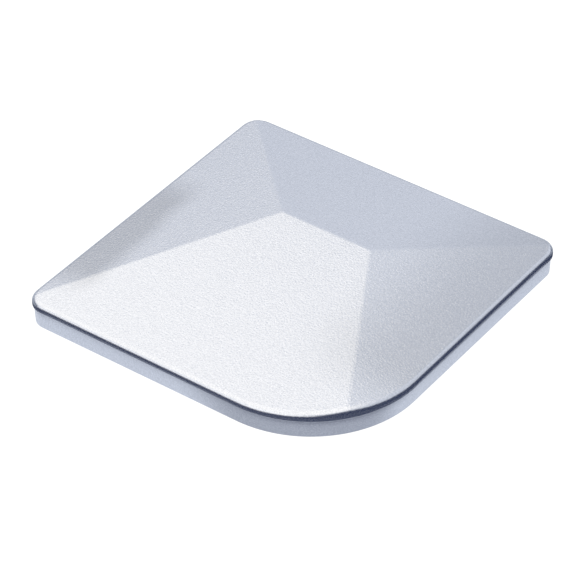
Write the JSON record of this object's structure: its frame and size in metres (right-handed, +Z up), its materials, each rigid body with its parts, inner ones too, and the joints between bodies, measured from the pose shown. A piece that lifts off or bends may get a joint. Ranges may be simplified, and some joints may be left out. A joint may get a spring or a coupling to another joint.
{
  "type": "post cap",
  "caption": "Low square moulded post cap: an off-centre hipped top, a rounded lip with one large corner, and a short skirt that grips the head of a post.",
  "frame": {"origin": "centre of the plane of the skirt's rim, under the middle of the square lip", "axes": "+Z up through the roof, +X along the ridge, with the one large corner at +X -Y"},
  "size_m": [0.1, 0.1, 0.012],
  "materials": {
    "silver_plastic": "silver pigment, satin, with a fine spark-eroded grain on the facets"
  },
  "bodies": {
    "root": {"post_cap": "silver_plastic"}
  },
  "joints": []
}
